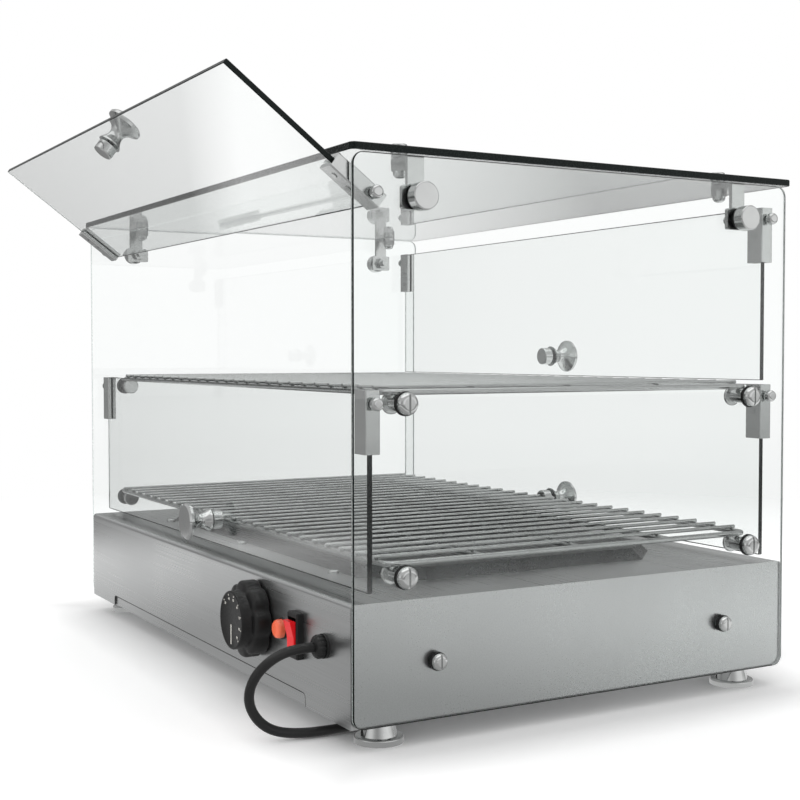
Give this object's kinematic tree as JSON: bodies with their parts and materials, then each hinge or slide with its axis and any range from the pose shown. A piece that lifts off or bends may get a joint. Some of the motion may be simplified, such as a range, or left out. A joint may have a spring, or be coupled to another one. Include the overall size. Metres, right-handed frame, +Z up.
{
  "type": "hot food display case",
  "caption": "Two-tier countertop heated display case with a stainless base, glass walls and roof, wire racks and hinged glass flaps on both long sides.",
  "frame": {"origin": "centre of the four feet, on the surface the case stands on", "axes": "+X along the case towards the cable end, +Y from the controls to the back, +Z up"},
  "size_m": [0.57, 0.54, 0.4333],
  "materials": {
    "brushed_stainless": "fine satin brushed",
    "dark_steel": "dark satin",
    "aluminised_sheet": "matt",
    "polished_steel": "polished",
    "zinc_steel": "zinc plated",
    "heater_sheath": "oxidised sheath",
    "clear_glass": "clear toughened glass with ground edges",
    "black_rubber": "matt",
    "copper": "drawn copper",
    "black_plastic": "fine moulded texture",
    "amber_lens": "translucent orange-red",
    "red_plastic": "gloss",
    "white_ceramic": "glazed ceramic",
    "wire_sleeve": "silicone sleeve",
    "cable_rubber": "satin rubber jacket"
  },
  "bodies": {
    "case": {"base_shell": "brushed_stainless", "bottom_pan": "brushed_stainless", "feet": "polished_steel", "foot_nuts": "zinc_steel", "heat_plate": "dark_steel", "deck_screws": "polished_steel", "heat_reflector": "aluminised_sheet", "heating_element": "heater_sheath", "end_glass_left": "clear_glass", "end_glass_right": "clear_glass", "roof_glass": "clear_glass", "roof_brackets": "polished_steel", "bracket_bolts": "polished_steel", "bracket_washers": "black_rubber", "bracket_nuts": "polished_steel", "roof_screws": "polished_steel", "acorn_nuts": "polished_steel", "rack_supports": "polished_steel", "support_screws": "polished_steel", "support_washers": "black_rubber", "side_screws": "polished_steel", "side_washers": "black_rubber", "side_nuts": "zinc_steel", "pivot_studs": "polished_steel", "thermostat": "zinc_steel", "sensing_bulb": "copper", "pilot_lamp_body": "black_plastic", "pilot_lamp_lens": "amber_lens", "switch_housing": "black_plastic", "gland_body": "black_plastic", "gland_nut": "black_plastic", "terminal_block": "white_ceramic", "inner_wiring": "wire_sleeve", "power_cable": "cable_rubber", "cable_coil": "cable_rubber", "power_plug": "black_plastic"},
    "lower_rack": {"lower_rack": "polished_steel"},
    "upper_rack": {"upper_rack": "polished_steel"},
    "dial": {"thermostat_dial": "black_plastic"},
    "rocker": {"switch_rocker": "red_plastic"},
    "lower_front_flap": {"lower_front_glass": "clear_glass", "lower_front_hinges": "polished_steel", "lower_front_set_screws": "polished_steel", "lower_front_knob": "polished_steel", "lower_front_knob_nut": "polished_steel"},
    "upper_front_flap": {"upper_front_glass": "clear_glass", "upper_front_hinges": "polished_steel", "upper_front_set_screws": "polished_steel", "upper_front_knob": "polished_steel", "upper_front_knob_nut": "polished_steel"},
    "lower_back_flap": {"lower_back_glass": "clear_glass", "lower_back_hinges": "polished_steel", "lower_back_set_screws": "polished_steel", "lower_back_knob": "polished_steel", "lower_back_knob_nut": "polished_steel"},
    "upper_back_flap": {"upper_back_glass": "clear_glass", "upper_back_hinges": "polished_steel", "upper_back_set_screws": "polished_steel", "upper_back_knob": "polished_steel", "upper_back_knob_nut": "polished_steel"}
  },
  "joints": [
    {"name": "lower_front_hinge", "type": "hinge", "parent": "case", "child": "lower_front_flap", "pos_m": [0, -0.165, 0.2165], "axis": [-1, 0, 0], "range_deg": [0, 105]},
    {"name": "upper_front_hinge", "type": "hinge", "parent": "case", "child": "upper_front_flap", "pos_m": [0, -0.165, 0.3465], "axis": [1, 0, 0], "range_deg": [0, 127]},
    {"name": "lower_back_hinge", "type": "hinge", "parent": "case", "child": "lower_back_flap", "pos_m": [0, 0.165, 0.2165], "axis": [1, 0, 0], "range_deg": [0, 105]},
    {"name": "upper_back_hinge", "type": "hinge", "parent": "case", "child": "upper_back_flap", "pos_m": [0, 0.165, 0.3465], "axis": [1, 0, 0], "range_deg": [0, 127]},
    {"name": "dial_turn", "type": "hinge", "parent": "case", "child": "dial", "pos_m": [0.128, -0.19, 0.061], "axis": [0, 1, 0], "range_deg": [0, 270]},
    {"name": "rocker_tilt", "type": "hinge", "parent": "case", "child": "rocker", "pos_m": [0.195, -0.1815, 0.061], "axis": [1, 0, 0], "range_deg": [-16, 0]},
    {"name": "lower_rack_lift", "type": "slide", "parent": "case", "child": "lower_rack", "axis": [0, 0, 1], "range_m": [0, 0.025]},
    {"name": "upper_rack_lift", "type": "slide", "parent": "case", "child": "upper_rack", "axis": [0, 0, 1], "range_m": [0, 0.025]}
  ]
}
